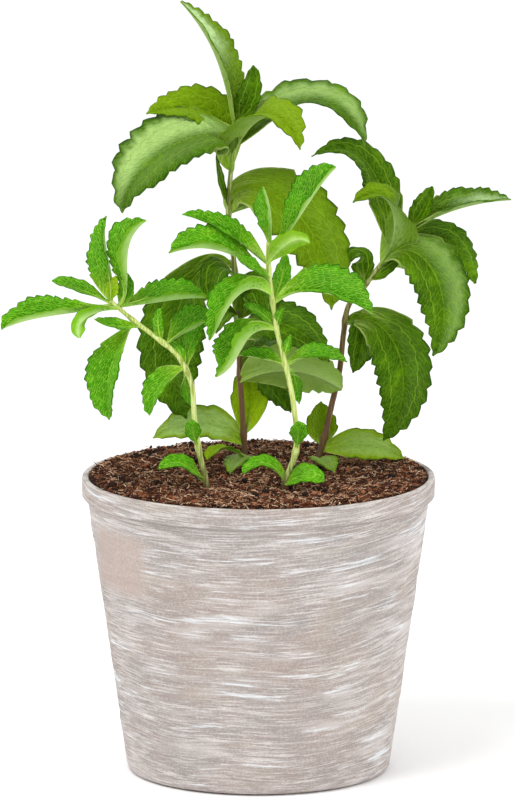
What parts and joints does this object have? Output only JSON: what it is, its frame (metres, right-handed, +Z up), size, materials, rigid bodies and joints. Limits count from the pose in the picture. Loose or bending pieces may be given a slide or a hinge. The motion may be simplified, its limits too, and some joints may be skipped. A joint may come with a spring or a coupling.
{
  "type": "potted stevia plant",
  "caption": "Sweetleaf herb with toothed opposite leaves on slender stems, standing in coir soil in a round tapered pot with a rim band.",
  "frame": {"origin": "centre of the pot's underside, on the surface that the pot stands on", "axes": "+Z up along the pot's axis, -Y towards the front of the plant, +X to the right as seen from the front"},
  "size_m": [0.2151, 0.1502, 0.3292],
  "materials": {
    "pot": "matt taupe with brushed off-white streaks that run round the pot",
    "soil": "dark brown coir and peat with reddish-brown and tan fibres",
    "old_foliage": "olive to mid green leaves with a soft sheen, paler underneath, on stems that go from brown-purple to green",
    "young_foliage": "bright green leaves with fine pale net veins and light undersides, on pale yellow-green stems"
  },
  "bodies": {
    "root": {"pot": "pot", "soil": "soil", "leafy_stem_back_left": "old_foliage", "leafy_stem_back_right": "old_foliage", "leafy_stem_front_left": "young_foliage", "leafy_stem_front_centre": "young_foliage"}
  },
  "joints": []
}
